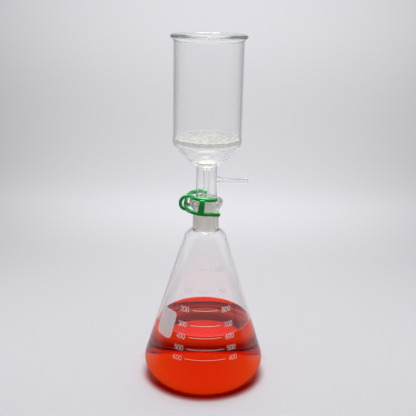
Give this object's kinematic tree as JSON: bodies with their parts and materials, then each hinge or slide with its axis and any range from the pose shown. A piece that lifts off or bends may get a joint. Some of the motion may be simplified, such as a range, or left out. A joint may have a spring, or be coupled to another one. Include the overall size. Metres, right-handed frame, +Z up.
{
  "type": "vacuum filtration unit",
  "caption": "Conical flask with ground neck holding a sintered-disc filter funnel with side hose connection, held by a plastic joint clip, part filled with red filtrate.",
  "frame": {"origin": "centre of the flask's base, on the surface it stands on", "axes": "+Z up along the common axis of flask and funnel, +X along the hose connection at rest, the graduation lines face -Y"},
  "size_m": [0.131, 0.131, 0.3703],
  "materials": {
    "flask_glass": "clear borosilicate glass, ground grey in the neck",
    "funnel_glass": "clear borosilicate glass, ground grey on the joint",
    "sintered_glass": "porous sintered glass, white and granular",
    "red_filtrate": "clear orange-red liquid",
    "white_enamel": "fired white enamel",
    "patch_enamel": "thin matt white enamel",
    "green_plastic": "smooth moulded plastic, satin"
  },
  "bodies": {
    "flask": {"flask": "flask_glass", "filtrate": "red_filtrate", "graduation_lines": "white_enamel", "marking_patch": "patch_enamel"},
    "funnel": {"filter_funnel": "funnel_glass", "frit_disc": "sintered_glass"},
    "clip": {"joint_clip": "green_plastic"}
  },
  "joints": [
    {"name": "funnel_turn", "type": "hinge", "parent": "flask", "child": "funnel", "pos_m": [0, 0, 0.2006], "axis": [0, 0, 1], "continuous": true},
    {"name": "clip_turn", "type": "hinge", "parent": "flask", "child": "clip", "pos_m": [0, 0, 0.2006], "axis": [0, 0, 1], "continuous": true}
  ]
}
